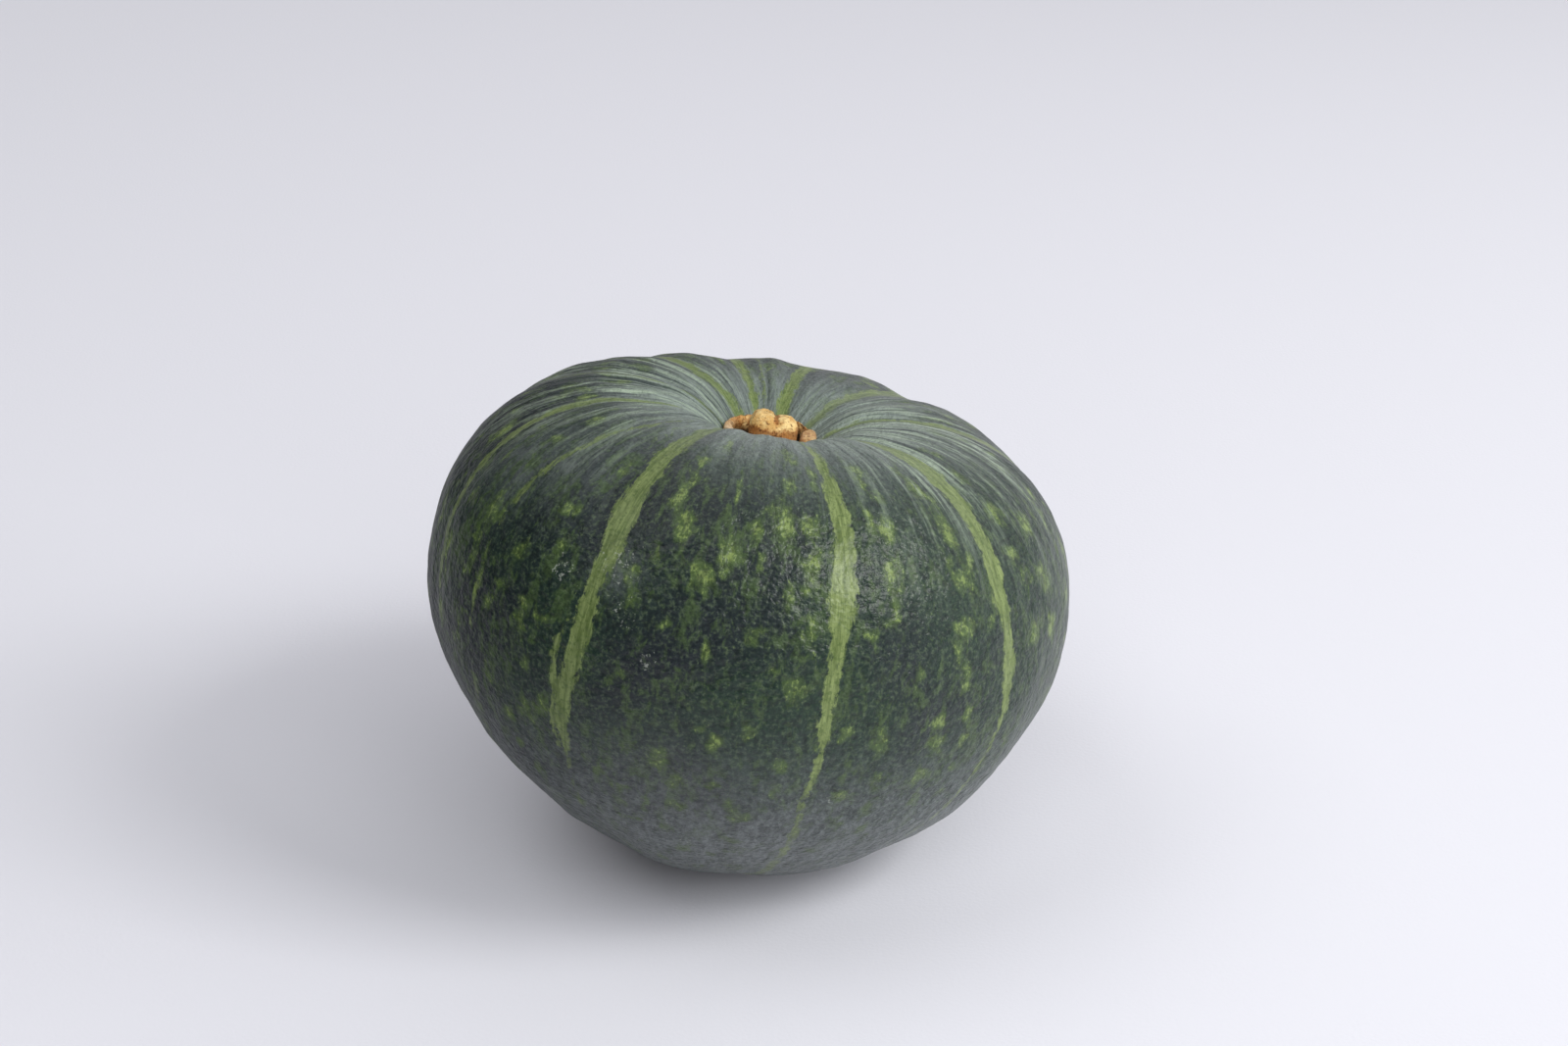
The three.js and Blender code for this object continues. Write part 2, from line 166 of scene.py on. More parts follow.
# Flecks on the front: azimuth, polar angle, half width and half length in mm, strength.
FLECKS = [
    (-19.5, 0.7, 0.9, 3, 1), (-20.3, 0.84, 1.6, 3, 0.9), (-16.6, 0.93, 1.6, 3.2, 0.9),
    (-19.8, 0.78, 1.2, 4, 0.7), (-16, 0.57, 0.8, 3, 0.8), (-8.6, 0.78, 0.7, 4.6, 0.9),
    (-7.6, 0.98, 2.2, 4.4, 0.75), (-10.9, 1.06, 1.9, 3, 1), (-23.4, 1.1, 1.6, 2, 0.8),
    (-22, 1.16, 1.6, 2.2, 0.6), (-20.6, 1.02, 1.5, 2.6, 0.6), (-8, 1.26, 1.2, 2.8, 0.9),
    (-15.1, 1.2, 1.5, 1.6, 0.6), (3.4, 0.6, 1, 4.6, 0.7), (3.7, 0.72, 1.1, 2.4, 0.6),
    (3.3, 0.86, 1.3, 3.8, 1), (0.3, 0.82, 1.8, 4.6, 0.55), (7.7, 0.86, 1.5, 2.4, 0.7),
    (10, 0.67, 1.3, 3.6, 0.8), (-0.9, 0.995, 0.9, 1.8, 1), (-2.9, 0.9, 1.4, 2.4, 0.6),
    (8.6, 0.98, 2, 5, 0.7), (4.6, 1.07, 1.2, 2.4, 0.65), (9, 1.17, 1.7, 4, 0.6),
    (-0.3, 1.19, 1.9, 1.9, 0.65), (3.4, 1.26, 1.4, 1.5, 0.6), (7.4, 1.32, 2.4, 2.6, 0.6),
    (-7.1, 1.47, 1.7, 1.8, 0.8), (-3.7, 1.5, 1.3, 2, 0.9), (1.1, 1.45, 1.7, 1.9, 0.55),
    (-35.7, 0.81, 1, 2.6, 0.75), (-40.3, 0.98, 1.9, 1.8, 0.75), (-42, 1.04, 1.2, 1.6, 0.6),
    (-46, 1.14, 2.4, 2.6, 0.6), (-38.2, 1.08, 1.6, 2.6, 0.6), (-37, 1.29, 1.5, 2, 0.6),
    (-41, 1.31, 1.6, 2.6, 0.55), (-49.4, 1.33, 1.4, 1.6, 0.65), (-57.7, 0.69, 1.9, 2.6, 0.8),
    (-37, 0.6, 0.6, 4.6, 0.6), (-39.4, 1.43, 1.6, 1.8, 0.6), (-39, 1.59, 2, 2.6, 0.75),
    (-48.4, 1.53, 2, 2.6, 0.65), (-43.5, 1.66, 1.4, 2.6, 0.55), (-20.5, 1.37, 1.6, 1.8, 0.6),
    (24.6, 0.64, 1.1, 2.4, 0.9), (23.3, 0.69, 0.9, 2.6, 0.9), (26.3, 0.75, 1.2, 1.8, 0.7),
    (24.9, 0.87, 1.7, 4.2, 1), (22, 0.83, 1.1, 2.6, 0.6), (24.9, 1.0, 2.6, 2.6, 1),
    (24.6, 1.1, 1.3, 3, 0.8), (19.7, 1.16, 1.6, 1.8, 0.7), (17.4, 1.44, 1.3, 2, 0.65),
    (38, 0.65, 1.1, 2.6, 0.75), (39.6, 0.73, 1.4, 3.6, 0.75), (42, 0.78, 1.2, 2, 0.7),
    (41.2, 0.88, 1.8, 4, 1), (44.3, 0.985, 2.2, 2.4, 1), (41, 1.02, 2.6, 2, 0.85),
    (39, 0.97, 1.5, 1.6, 0.7), (42.3, 1.06, 1.3, 1.8, 0.6), (39.4, 1.155, 3.6, 1.8, 0.75),
    (38, 1.21, 1.7, 3.4, 0.75), (47.4, 1.165, 1.6, 1.4, 0.8), (40.5, 1.3, 2, 2.8, 0.75),
    (35.6, 1.43, 2.4, 2, 0.75), (36.7, 1.5, 2, 2.8, 0.8), (42.5, 1.43, 1.8, 1.7, 0.65),
    (43.7, 1.51, 1.5, 1.9, 0.7), (30, 1.28, 1.3, 1.8, 0.6), (24.5, 1.47, 2, 2.8, 0.7),
    (25.7, 1.61, 1.1, 2.6, 0.65), (7.3, 1.54, 1.9, 2.4, 0.7), (8.1, 1.65, 1.7, 2.4, 0.55),
    (61.4, 0.87, 1.8, 2.8, 1), (59.4, 0.995, 1.6, 1.8, 0.95), (70.3, 0.945, 2.8, 3.4, 1),
    (62.6, 1.07, 1.9, 2.2, 0.6), (68.6, 1.1, 2.4, 2.6, 0.9), (61.7, 1.24, 2.6, 2.6, 0.8),
    (69.5, 1.26, 2.4, 3.2, 0.9), (61.4, 0.72, 1.3, 2, 0.7), (62.9, 0.6, 1.6, 2.4, 0.7),
    (-0.4, 1.74, 1.4, 2.2, 0.55), (6.4, 1.73, 1.4, 2, 0.5), (-12.4, 1.58, 1.3, 2.2, 0.5),
    (-20.6, 1.84, 1.2, 5, 0.5), (-18.4, 1.58, 1.4, 2.2, 0.45), (19.3, 1.59, 1.3, 2.2, 0.5),
    (-13.5, 1.6, 1.6, 3.4, 0.9), (-9.8, 1.68, 2, 1.6, 1), (-20, 1.76, 1.8, 1.4, 0.7),
    (-15.5, 1.79, 1.5, 1.6, 0.6), (-9, 1.79, 2.8, 1.6, 0.8), (2.5, 1.78, 2.4, 2.6, 0.9),
    (-3, 1.66, 1.8, 2.2, 0.7), (-19, 1.92, 2.8, 1.2, 0.8), (-12, 1.93, 1.3, 1.3, 0.6),
    (2.5, 1.94, 2.6, 1.5, 0.8), (-8, 2.06, 1.6, 1.4, 0.8), (-1.2, 2.09, 1.4, 1.4, 0.8),
    (3.5, 2.03, 2, 1.4, 0.6), (-12.4, 2.2, 1.4, 1.3, 0.7), (-24, 1.7, 1.5, 1.6, 0.6),
    (20, 1.68, 1.7, 1.8, 0.9), (22, 1.82, 1.6, 2.4, 0.7), (13.2, 1.5, 1.4, 1.6, 0.5),
    (27.5, 1.74, 1.5, 2.8, 0.8), (29, 1.86, 1.6, 1.8, 0.7), (36, 1.62, 2.6, 2.6, 0.9),
    (37.5, 1.72, 1.8, 2, 0.8), (43, 1.62, 1.5, 1.6, 0.8), (44, 1.73, 1.3, 1.6, 0.7),
    (21, 2.02, 1.8, 1.6, 0.6), (33, 1.94, 1.6, 1.8, 0.5), (-31, 1.93, 1.5, 1.6, 0.5),
    (-40, 1.82, 1.6, 1.8, 0.5), (12, 1.95, 1.4, 1.4, 0.5), (57, 1.55, 1.4, 3.2, 0.7),
    (-53.8, 1.3, 0.9, 4.2, 0.9), (-53.9, 1.42, 0.6, 2, 0.7), (-54.2, 1.6, 1.1, 2, 0.8),
    (-45.6, 1.13, 1.6, 1.4, 0.8), (-47.6, 1.25, 1.4, 1.4, 0.6), (-41.5, 1.27, 1.3, 1.3, 0.8),
    (-40.6, 1.34, 0.8, 1.8, 0.7), (-42.4, 1.33, 0.7, 1.8, 0.7), (-37.2, 1.29, 1.1, 1.4, 0.6),
    (-56.6, 1.39, 1.8, 0.9, 0.8), (-59.4, 1.28, 1.6, 1.4, 0.7), (-59.2, 1.18, 1.4, 1, 0.7),
    (-55, 1.1, 1.6, 1.2, 0.7), (-61.5, 1.5, 2, 1, 0.7), (-36, 1.55, 1.9, 2.4, 0.8),
    (-37.6, 1.61, 1, 1.2, 0.9), (-43.4, 1.63, 1.2, 1.8, 0.7), (-43.2, 1.75, 1.5, 1.3, 0.9),
    (-40.8, 1.84, 1.4, 1.6, 0.7), (-49.6, 1.31, 0.9, 1.2, 0.7), (-33.6, 1.7, 1, 1.8, 0.5),
]
# They fill this range of azimuths, down to this polar angle.
PLACED_FROM, PLACED_TO, PLACED_ABOVE = -62, 76, 2.2

# Elsewhere flecks are random, in rows some degrees apart and some mm apart in a row.
FLECK_SEED = 41
ROW_SPACING, ROW_STEPS, ROW_WANDER = 8.5, (0.8, 1.2), 1.6
ROW_START, ROW_END = (0.55, 0.7), 2.3
FLECK_SPACING, FLECK_STEPS = 8.5, (0.5, 1.7)
FLECK_LENGTHS, FLECK_WIDTHS, FLECK_STRENGTHS = (1.6, 4.6), (1.0, 2.4), (0.4, 1.0)
FLECK_FADE, FLECK_FADE_FROM, FLECK_FADE_TO = 0.3, 1.2, 1.7

# Every fleck is drawn this much larger, bent by noise and made uneven inside.
FLECK_SPREAD = 1.3
# Amount, size and seed of each noise.
SIDEWAYS_BEND, ENDWAYS_BEND, PATCHINESS = (2.0, 3.0, 33), (3.0, 3.5, 34), (0.7, 2.0, 35)

# Patches of small pale scuffs: azimuth, polar angle and radius in mm.
SCUFFS = [
    (-26, 1.08, 7), (-23, 1.2, 5), (-36, 1.14, 5), (-63, 1.43, 3), (-59, 1.5, 3), (-17, 1.3, 4),
    (18, 1.7, 3), (-6, 2.0, 4), (75, 1.35, 4), (118, 1.1, 6), (150, 1.4, 4), (200, 1.2, 6),
    (236, 0.9, 4), (262, 1.1, 6), (281, 1.5, 4),
]
# Dusty patches that also carry painted sheen, in the same way.
DUST_AND_SHEEN_PATCHES = [(-60, 0.92, 14), (-47, 0.86, 12), (-26, 1.1, 6), (130, 1.0, 14), (215, 1.1, 12)]

# The ground colour turns green on one side and blue-black on the other.
GREENER_SIDE = (0.18, 62)
# Bloom and painted sheen near the stem are strongest in front, and the pale folds with their
# painted highlights show most at the sides.
FRONT_SIDE, FOLD_HIGHLIGHT_SIDES = (0.5, 0), (0.5, 80)
POLAR_IN_SOCKET = 0.2

# ---------- small helpers ----------


def bell(offset, half_width):
    """1 where the offset is 0, falling off smoothly on both sides."""
    return np.exp(-((offset / half_width) ** 2))


def smooth(value, low, high):
    t = np.clip((value - low) / (high - low), 0, 1)
    return t * t * (3 - 2 * t)


def angle_between(a, b):
    return (a - b + 180) % 360 - 180


def evenly_round(count):
    """This many azimuths, evenly spaced from 0."""
    return np.arange(count) * 360 / count


def wave_towards(azimuth, lobe, waves=1):
    """A wave round the stem axis; a lobe is its height and the azimuth of its crest."""
    amount, towards = lobe
    return amount * np.cos(waves * np.radians(azimuth - towards))


def noise_of(points, size, seed):
    """Smooth noise from -1 to 1 at each point, with features of about the given size."""
    shift = Vector((seed * 17.3, seed * 5.1, seed * 9.7))
    return np.array([noise.noise(Vector(p) / size + shift) for p in points])


def layers_of_noise(points, layers):
    """A sum of noises, each with its size, height and seed."""
    return sum(height * noise_of(points, size, seed) for size, height, seed in layers)


def direction(polar, azimuth):
    """The unit vector that points at a place on the fruit."""
    turn = np.radians(azimuth)
    across = np.sin(polar)
    up = np.cos(polar) + 0 * turn
    return np.stack([across * np.sin(turn), -across * np.cos(turn), up], -1)


STANDING = (
    Matrix.Translation(FRUIT_CENTRE)
    @ Matrix.Rotation(math.radians(LEAN_SIDEWAYS), 4, "Y")
    @ Matrix.Rotation(math.radians(-LEAN_BACKWARDS), 4, "X")
)


def stand_up(points):
    """Fruit frame to row frame, still in millimetres."""
    turn = np.array(STANDING.to_3x3())
    return points @ turn.T + np.array(STANDING.translation)


def new_object(name, points_mm, faces):
    mesh = bpy.data.meshes.new(name)
    mesh.from_pydata((points_mm * MM).tolist(), [], faces)
    mesh.shade_smooth()
    piece = bpy.data.objects.new(name, mesh)
    bpy.context.scene.collection.objects.link(piece)
    return piece


def read_vectors(items, name):
    values = np.empty(len(items) * 3)
    items.foreach_get(name, values)
    return values.reshape(-1, 3)


def add_field(mesh, name, values):
    """One number or one vector for each point of the mesh."""
    values = np.asarray(values, np.float32)
    kind, key = ("FLOAT", "value") if values.ndim == 1 else ("FLOAT_VECTOR", "vector")
    mesh.attributes.new(name, kind, "POINT").data.foreach_set(key, values.ravel())


# ---------- the fruit's form, the same as the solid's ----------


def section_point(u):
    """The half section as a uniform Catmull-Rom curve; u counts its points."""
    points = np.array(HALF_SECTION, float)
    last = len(points) - 1
    i = np.clip(np.floor(u).astype(int), 0, last - 1)
    t = (u - i)[:, None]
    before, start = points[np.maximum(i - 1, 0)], points[i]
    end, after = points[i + 1], points[np.minimum(i + 2, last)]
    leave, arrive = (end - before) / 2, (after - start) / 2
    return (
        (2 * start - 2 * end + leave + arrive) * t**3
        + (3 * end - 3 * start - 2 * leave - arrive) * t**2
        + leave * t
        + start
    )


def unevenness(polar, azimuth):
    across = np.sin(polar)
    crest = bell(polar - CREST_ANGLE, CREST_SPREAD) * np.minimum(1, polar / CREST_FADE_IN)
    base = bell(polar - BASE_ANGLE, BASE_SPREAD) * np.minimum(1, across / END_FADE)
    return (
        across * np.cos(polar) * wave_towards(azimuth, TILTED_SHOULDERS)
        + across**2 * wave_towards(azimuth, OVAL_WAIST, 2)
        + across * wave_towards(azimuth, OFF_CENTRE)
        + crest * (wave_towards(azimuth, HIGH_CREST) + wave_towards(azimuth, SADDLED_CREST, 2))
        + base * wave_towards(azimuth, SETTLED_BASE)
    )


def groove_depth(polar, azimuth):
    shoulder = bell(polar - SHOULDER_ANGLE, SHOULDER_SPREAD)
    depth = GROOVE_AT_WAIST + (GROOVE_AT_SHOULDER - GROOVE_AT_WAIST) * shoulder
    fade = np.minimum(1, np.sin(polar) / END_FADE)
    share = 0
    for groove, strength in GROOVES:
        share = share + strength * bell(angle_between(azimuth, groove), GROOVE_HALF_WIDTH)
    return depth * fade * share


def swelling(polar, azimuth):
    total = 0
    for amount, around, along, start in SWELLINGS:
        wave = np.cos(around * np.radians(azimuth - start))
        total = total + amount * wave * np.sin(along * polar)
    return total * np.sin(polar)


def blossom_scar(polar, radius):
    away = radius * np.sin(np.pi - polar)
    relief = (
        SCAR_RING_HEIGHT * bell(away - SCAR_RING_RADIUS, SCAR_RING_WIDTH)
        - SCAR_DIP * bell(away, SCAR_DIP_RADIUS)
        + SCAR_NUB_HEIGHT * bell(away, SCAR_NUB_RADIUS)
    )
    return np.where(np.pi - polar > 1, 0, relief)


def plain_skin(polar, azimuth, radius):
    return (
        radius
        + unevenness(polar, azimuth)
        - groove_depth(polar, azimuth)
        + swelling(polar, azimuth)
        + blossom_scar(polar, radius)
    )


SECTION_STEPS = np.linspace(0, len(HALF_SECTION) - 1, 4000)
SECTION_LINE = section_point(SECTION_STEPS)
ALONG_LINE = np.concatenate([[0], np.cumsum(np.hypot(*np.diff(SECTION_LINE, axis=0).T))])
POLAR_LINE = np.arctan2(SECTION_LINE[:, 0], SECTION_LINE[:, 1])

# ---------- the finer relief of the skin ----------


def turned(azimuth, scale, height):
    """Points on a cylinder; noise read there closes round the fruit."""
    turn = np.radians(azimuth)
    return np.stack([np.cos(turn) * scale, np.sin(turn) * scale, height], -1)


def pleats(polar, azimuth):
    """Fine folds that run from the stem over the shoulder."""
    reach = 1 - smooth(polar, PLEAT_REACH * 0.5, PLEAT_REACH * 1.5)
    broad, fine = (
        noise_of(turned(azimuth, around, polar * along), 1, seed)
        for around, along, seed in (BROAD_PLEATS, FINE_PLEATS)
    )
    return reach * PLEAT_DEPTH * (broad + FINE_PLEAT_SHARE * fine)


def wrinkles(polar, azimuth, along):
    """Faint level creases on the lower half."""
    around = turned(azimuth, GRAIN_RADIUS / WRINKLE_LENGTH, along / WRINKLE_HEIGHT)
    field = noise_of(around, 1, WRINKLE_SEED)
    return WRINKLE_DEPTH * field * smooth(polar, WRINKLES_FROM, WRINKLES_TO)


# ---------- the markings of the skin, as fields on its points ----------


def mm_across(azimuth, centre, away):
    """How far sideways from an azimuth, at these distances from the stem axis."""
    return angle_between(azimuth, centre) * np.pi / 180 * away


def mm_below(along, polar):
    """How far down the skin from a polar angle."""
    return along - np.interp(polar, POLAR_LINE, ALONG_LINE)


def stripe_fields(polar, azimuth, away, points):
    """Millimetres inside the nearest pale stripe, and how pale that stripe is."""
    best = np.full(len(polar), FAR_OUTSIDE)
    tone = np.zeros(len(polar))
    for track, paleness in STRIPES:
        stops, centres, widths = np.array(track).T
        centre = np.interp(polar, stops, centres)
        width = np.interp(polar, stops, widths)
        inside = width - np.abs(mm_across(azimuth, centre, away))
        beyond = (polar < stops[0] - STRIPE_LEAD) | (polar > stops[-1])
        inside = np.where(beyond, FAR_OUTSIDE, inside)
        tone = np.where(inside > best, paleness, tone)
        best = np.maximum(best, inside)
    tone = tone * (1 - STRIPE_FADE * smooth(polar, STRIPE_FADE_FROM, STRIPE_FADE_TO))
    scallops = SCALLOP_DEPTH * noise_of(points, SCALLOP_SIZE, SCALLOP_SEED)
    return np.clip(best + scallops, -EDGE_LIMIT, EDGE_LIMIT), tone


def draw_flecks():
    """The placed flecks, and random ones over the rest of the fruit."""
    draw = random.Random(FLECK_SEED)
    flecks = list(FLECKS)
    row = PLACED_FROM
    while row < PLACED_FROM + 360:
        row += draw.uniform(*ROW_STEPS) * ROW_SPACING
        here = draw.uniform(*ROW_START)
        while here < ROW_END:
            centre = row + draw.gauss(0, ROW_WANDER)
            length = draw.uniform(*FLECK_LENGTHS)
            width = draw.uniform(*FLECK_WIDTHS)
            fade = FLECK_FADE * smooth(here, FLECK_FADE_FROM, FLECK_FADE_TO)
            strength = draw.uniform(*FLECK_STRENGTHS) * (1 - fade)
            if not (PLACED_FROM < centre < PLACED_TO and here < PLACED_ABOVE):
                flecks.append((centre, here, width, length, strength))
            here += draw.uniform(*FLECK_STEPS) * FLECK_SPACING / MEAN_RADIUS
    return flecks


def fleck_field(azimuth, away, along, points):
    """Strongest inside each fleck; noise bends the flecks out of their oval shape."""
    sideways, endways, patchy = (
        amount * noise_of(points, size, seed)
        for amount, size, seed in (SIDEWAYS_BEND, ENDWAYS_BEND, PATCHINESS)
    )
    field = np.zeros(len(points))
    for centre, where, width, length, strength in draw_flecks():
        across = mm_across(azimuth, centre, away) + sideways
        below = mm_below(along, where) + endways
        shape = bell(across, FLECK_SPREAD * width) * bell(below, FLECK_SPREAD * length)
        field = np.maximum(field, strength * shape)
    return field * (1 + patchy)


def patch_field(patches, azimuth, away, along):
    """Strongest in the middle of each round patch."""
    field = np.zeros(len(along))
    for centre, where, radius in patches:
        from_centre = np.hypot(mm_across(azimuth, centre, away), mm_below(along, where))
        field = np.maximum(field, bell(from_centre, radius))
    return field


# ---------- the fruit ----------


def skin_rows():
    """Section points evenly spaced from the socket's rim to the blossom end."""
    first = ALONG_LINE[np.argmax(SECTION_LINE[:, 0] >= RIM_RADIUS)]
    along = np.linspace(first, ALONG_LINE[-1], SKIN_ROWS + 1)[:-1]
    return section_point(np.interp(along, ALONG_LINE, SECTION_STEPS)), along


def fruit_faces(ring_count):
    """Quads between the rings, and a fan round the axis at each end."""
    end = 1 + (ring_count - 1) * SKIN_COLUMNS
    last = end + SKIN_COLUMNS
    faces = []
    for column in range(SKIN_COLUMNS):
        beside = (column + 1) % SKIN_COLUMNS
        faces.append((0, 1 + column, 1 + beside))
        for ring in range(ring_count - 1):
            a = 1 + ring * SKIN_COLUMNS
            b = a + SKIN_COLUMNS
            faces.append((a + column, b + column, b + beside, a + beside))
        faces.append((end + column, last, end + beside))
    return faces


def with_socket_and_ends(values, first, last):
    """The skin's values, with the rim's repeated down the socket and one at each end."""
    socket = np.concatenate([values[:SKIN_COLUMNS]] * len(WALL_SHARES))
    return np.concatenate([[first], socket, values, [last]])


def mark_fruit(mesh, polar, azimuth, away, along, points):
    """Puts what the skin's material reads on the points of the mesh."""
    edge, tone = stripe_fields(polar, azimuth, away, points)
    # name: values on the skin, in the middle of the socket and at the blossom end
    fields = {
        "stripe_edge": (edge, -EDGE_LIMIT, -EDGE_LIMIT),
        "stripe_tone": (tone, 0, 0),
        "fleck": (fleck_field(azimuth, away, along, points), 0, 0),
        "scuff": (patch_field(SCUFFS, azimuth, away, along), 0, 0),
        "dust_and_sheen": (patch_field(DUST_AND_SHEEN_PATCHES, azimuth, away, along), 0, 0),
        "greener": (wave_towards(azimuth, GREENER_SIDE), 0, 0),
        "front": (0.5 + wave_towards(azimuth, FRONT_SIDE), 0, 0),
        "sideways": (0.5 + wave_towards(azimuth, FOLD_HIGHLIGHT_SIDES, 2), 0, 0),
        "polar": (polar, POLAR_IN_SOCKET, np.pi),
        "grain": (turned(azimuth, GRAIN_RADIUS, along), (0, 0, 0), (0, 0, ALONG_LINE[-1])),
    }
    for name, (values, in_socket, at_blossom) in fields.items():
        add_field(mesh, name, with_socket_and_ends(values, in_socket, at_blossom))


def make_fruit():
    rows, row_along = skin_rows()
    azimuth = np.tile(evenly_round(SKIN_COLUMNS), SKIN_ROWS)
    along = np.repeat(row_along, SKIN_COLUMNS)
    away, up = np.repeat(rows, SKIN_COLUMNS, axis=0).T
    polar = np.arctan2(away, up)

    radius = plain_skin(polar, azimuth, np.hypot(away, up))
    smooth_points = radius[:, None] * direction(polar, azimuth)
    radius = radius + pleats(polar, azimuth) + layers_of_noise(smooth_points, LUMPS)
    radius = radius + wrinkles(polar, azimuth, along)
    skin = radius[:, None] * direction(polar, azimuth)

    # the socket that the stem sits in: down from the rim and across to the axis
    rim = skin[:SKIN_COLUMNS]
    high, low = WALL_SHARES
    upper_wall = rim * (high, high, 1) - (0, 0, SOCKET_LIP)
    lower_wall = rim * (low, low, 0) + (0, 0, SOCKET_FLOOR)
    blossom_end = (0, 0, HALF_SECTION[-1][1])
    points = stand_up(np.vstack([(0, 0, SOCKET_FLOOR), lower_wall, upper_wall, skin, blossom_end]))
    points[:, 2] = np.maximum(points[:, 2], 0)
    fruit = new_object("squash_skin", points, fruit_faces(SKIN_ROWS + len(WALL_SHARES)))
    mark_fruit(fruit.data, polar, azimuth, away, along, smooth_points)
    return fruit


# ---------- the stem ----------

STEM_VOXEL, ROUNDING, ROUNDING_STEPS = 0.28, 0.5, 3
LOBE_COLUMNS, LOBE_ROWS = 80, 48
COLLAR_COLUMNS, PLUG_COLUMNS = 300, 96
LOBE_SQUARENESS = 2.6
# The collar's section: distance from its inner or outer radius, and height from its crest.
COLLAR_INSIDE = [(0.1, -1.4), (0.5, -0.6)]
COLLAR_OUTSIDE = [(-0.8, 0), (-0.2, -0.3), (0, -1.0)]
PLUG_CHAMFER, PLUG_TOP_CHAMFER = 0.8, 0.6

# The knob gives way to the collar between these distances from the axis.
KNOB_EDGE = (6.8, 8.2)
# Size, height and seed of each noise; the collar has only a share of the grain.
CORK_GRAINS = [(2.4, 0.3, 51), (1.1, 0.16, 52), (0.55, 0.08, 53)]
COLLAR_GRAIN_SHARE = 0.45
COLLAR_RAGS, INNER_RAG_SEED_STEP = [(2.6, 0.35, 54), (0.9, 0.18, 55)], 7
FIBRE_RADIUS, FIBRE_STRETCH, FIBRE_SIZE, FIBRE_HEIGHT, FIBRE_SEED = 12, 0.35, 0.7, 0.14, 57
NOTCH_PLACE, NOTCH_WIDTH, NOTCH_HEIGHTS, NOTCH_DEPTH = 1.1, 0.9, (60.5, 62.5), 0.15

# Pale cuts and the gap in the collar: azimuth and half width in degrees.
LEFT_CUT, RIGHT_CUT, COLLAR_GAP = (290, 32), (86, 26), (124, 11)
RIGHT_CUT_HEIGHTS, RIGHT_CUT_SHARE = (55.5, 57.5), 0.4
COLLAR_GAP_REACH = 11.2
MOAT_SHADE_HEIGHTS = (MOAT_FLOOR + 0.5, MOAT_FLOOR + 4.2)
KNOB_UNDERSIDE_HEIGHTS = (58.4, 62.4)
LEFT_CUT_SLOPES = (0.05, 0.5)
GAP_SHADE, NOTCH_SHADE, COLLAR_BROWNER = 0.9, 0.25, 0.62


def tube_faces(columns, rings, closed):
    """Quads between full rings of points; closed joins the last ring to the first."""
    faces = []
    for ring in range(rings if closed else rings - 1):
        a, b = ring * columns, (ring + 1) % rings * columns
        for column in range(columns):
            beside = (column + 1) % columns
            faces.append((a + column, a + beside, b + beside, b + column))
    return faces


def rings_round(azimuth, section):
    """A ring of points for each distance from the axis and height in the section."""
    out = direction(np.pi / 2, azimuth)[:, :2]
    rings = [
        np.column_stack([out * np.reshape(away, (-1, 1)), height + 0 * azimuth])
        for away, height in section
    ]
    return np.vstack(rings)


def cork_lobe(centre, size):
    """A rounded block about a centre, with its half sizes."""
    rows = np.linspace(0, np.pi, LOBE_ROWS + 2)[1:-1]
    columns = evenly_round(LOBE_COLUMNS)
    sphere = direction(np.repeat(rows, LOBE_COLUMNS), np.tile(columns, LOBE_ROWS))
    sphere = np.vstack([sphere, (0, 0, 1), (0, 0, -1)])
    powers = (np.abs(sphere) ** LOBE_SQUARENESS).sum(1, keepdims=True)
    sphere = sphere / powers ** (1 / LOBE_SQUARENESS)
    faces = tube_faces(LOBE_COLUMNS, LOBE_ROWS, closed=False)
    top, bottom = len(sphere) - 2, len(sphere) - 1
    end = (LOBE_ROWS - 1) * LOBE_COLUMNS
    for column in range(LOBE_COLUMNS):
        beside = (column + 1) % LOBE_COLUMNS
        faces.append((top, beside, column))
        faces.append((bottom, end + column, end + beside))
    return sphere * size + centre, faces


def cork_collar():
    """The broken wall round the knob, ragged on top and slanting down towards it."""
    azimuth = evenly_round(COLLAR_COLUMNS)
    stops, crests, inners = np.array(COLLAR, float).T
    place = np.interp(azimuth, stops, np.arange(len(stops)))
    share = place - np.floor(place)
    eased = np.floor(place) + smooth(share, 0, 1)
    crest = np.interp(eased, np.arange(len(stops)), crests)
    inner = np.interp(eased, np.arange(len(stops)), inners)
    around = turned(azimuth, COLLAR_RADIUS, 0 * azimuth)
    for size, height, seed in COLLAR_RAGS:
        crest = crest + height * noise_of(around, size, seed)
        inner = inner - height * noise_of(around, size, seed + INNER_RAG_SEED_STEP)
    section = [(inner, COLLAR_ROOT)]
    section += [(inner + away, crest + height) for away, height in COLLAR_INSIDE]
    section += [(COLLAR_RADIUS + away, crest + height) for away, height in COLLAR_OUTSIDE]
    section += [(COLLAR_RADIUS, COLLAR_ROOT)]
    faces = tube_faces(COLLAR_COLUMNS, len(section), closed=True)
    return rings_round(azimuth, section), faces


def cork_plug():
    """The round plug that fills the socket up to the moat round the knob."""
    section = [
        (PLUG_RADIUS - PLUG_CHAMFER, PLUG_BOTTOM),
        (PLUG_RADIUS, PLUG_BOTTOM + PLUG_CHAMFER),
        (PLUG_RADIUS, MOAT_FLOOR + PLUG_TOP_CHAMFER),
        (PLUG_RADIUS - PLUG_TOP_CHAMFER, MOAT_FLOOR),
    ]
    faces = tube_faces(PLUG_COLUMNS, len(section), closed=False)
    faces.append(tuple(range(PLUG_COLUMNS))[::-1])
    top = (len(section) - 1) * PLUG_COLUMNS
    faces.append(tuple(range(top, top + PLUG_COLUMNS)))
    return rings_round(evenly_round(PLUG_COLUMNS), section), faces


def joined(parts):
    """The points and faces of several parts in one list each."""
    points, faces, count = [], [], 0
    for part_points, part_faces in parts:
        points.append(part_points)
        faces.extend(tuple(count + i for i in face) for face in part_faces)
        count += len(part_points)
    return np.vstack(points), faces


